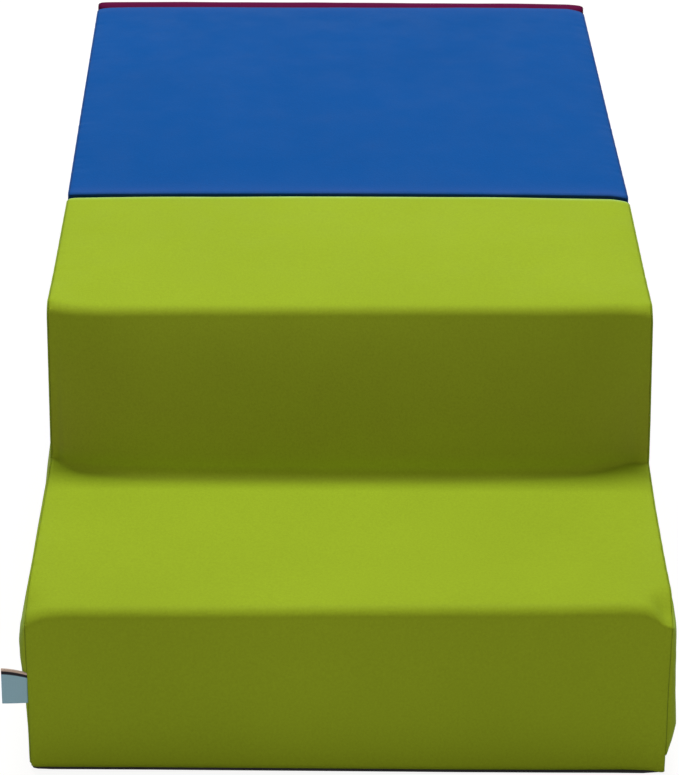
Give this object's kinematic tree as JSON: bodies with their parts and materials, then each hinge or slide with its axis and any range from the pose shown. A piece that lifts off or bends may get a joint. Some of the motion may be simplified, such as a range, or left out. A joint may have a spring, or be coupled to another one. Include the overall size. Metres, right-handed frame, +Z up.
{
  "type": "soft play climber",
  "caption": "Row of covered foam blocks for small children: steps up to a level platform, then a slide wedge down the far side.",
  "frame": {"origin": "on the floor, under the middle of the platform's base", "axes": "+Z up, +Y from the steps towards the slide along the row, +X to the right as seen when walking up the steps"},
  "size_m": [0.6408, 1.8608, 0.351],
  "materials": {
    "green_vinyl": "satin PVC-coated fabric",
    "blue_vinyl": "satin PVC-coated fabric",
    "plum_vinyl": "satin PVC-coated fabric",
    "base_vinyl": "matt, with non-slip dots",
    "foam": "open-cell polyurethane foam",
    "loop_pile": "loop pile",
    "hook_pile": "hook pile",
    "zip_tape": "woven tape with nylon coil",
    "zinc": "nickel-plated zinc",
    "label": "woven, bare"
  },
  "bodies": {
    "steps": {"steps_lower_core": "foam", "steps_upper_core": "foam", "steps_cover": "green_vinyl", "steps_left_side": "green_vinyl", "steps_right_side": "green_vinyl", "steps_zip_band": "green_vinyl", "steps_label": "label", "steps_loop_strip_left": "loop_pile", "steps_loop_strip_right": "loop_pile", "steps_base": "base_vinyl", "steps_zip_lower_tape": "zip_tape", "steps_zip_upper_tape": "zip_tape"},
    "platform": {"platform_core": "foam", "platform_cover": "blue_vinyl", "platform_left_side": "blue_vinyl", "platform_right_side": "blue_vinyl", "platform_zip_band": "blue_vinyl", "platform_hook_strip_left": "hook_pile", "platform_hook_strip_right": "hook_pile", "platform_loop_strip_left": "loop_pile", "platform_loop_strip_right": "loop_pile", "platform_base": "base_vinyl", "platform_zip_lower_tape": "zip_tape", "platform_zip_upper_tape": "zip_tape"},
    "slide": {"slide_core": "foam", "slide_cover": "plum_vinyl", "slide_left_side": "plum_vinyl", "slide_right_side": "plum_vinyl", "slide_zip_band": "plum_vinyl", "slide_hook_strip_left": "hook_pile", "slide_hook_strip_right": "hook_pile", "slide_base": "base_vinyl", "slide_zip_lower_tape": "zip_tape", "slide_zip_upper_tape": "zip_tape"},
    "steps_zip_slider": {"steps_zip_slider": "zinc"},
    "steps_zip_pull": {"steps_zip_pull": "zinc"},
    "platform_zip_slider": {"platform_zip_slider": "zinc"},
    "platform_zip_pull": {"platform_zip_pull": "zinc"},
    "slide_zip_slider": {"slide_zip_slider": "zinc"},
    "slide_zip_pull": {"slide_zip_pull": "zinc"}
  },
  "joints": [
    {"name": "platform_pull_away", "type": "slide", "parent": "steps", "child": "platform", "axis": [0, 1, 0], "range_m": [0, 0.3]},
    {"name": "slide_pull_away", "type": "slide", "parent": "platform", "child": "slide", "axis": [0, 1, 0], "range_m": [0, 0.3]},
    {"name": "steps_zip_run", "type": "slide", "parent": "steps", "child": "steps_zip_slider", "axis": [0, 1, 0], "range_m": [0, 0.52]},
    {"name": "steps_zip_pull_hinge", "type": "hinge", "parent": "steps_zip_slider", "child": "steps_zip_pull", "pos_m": [0.3066, -0.8789, 0.022], "axis": [0, 0, -1], "range_deg": [0, 180]},
    {"name": "platform_zip_run", "type": "slide", "parent": "platform", "child": "platform_zip_slider", "axis": [0, 1, 0], "range_m": [0, 0.53]},
    {"name": "platform_zip_pull_hinge", "type": "hinge", "parent": "platform_zip_slider", "child": "platform_zip_pull", "pos_m": [0.3066, -0.265, 0.022], "axis": [0, 0, -1], "range_deg": [0, 180]},
    {"name": "slide_zip_run", "type": "slide", "parent": "slide", "child": "slide_zip_slider", "axis": [0, 1, 0], "range_m": [0, 0.39]},
    {"name": "slide_zip_pull_hinge", "type": "hinge", "parent": "slide_zip_slider", "child": "slide_zip_pull", "pos_m": [0.3066, 0.3589, 0.022], "axis": [0, 0, -1], "range_deg": [0, 180]}
  ]
}
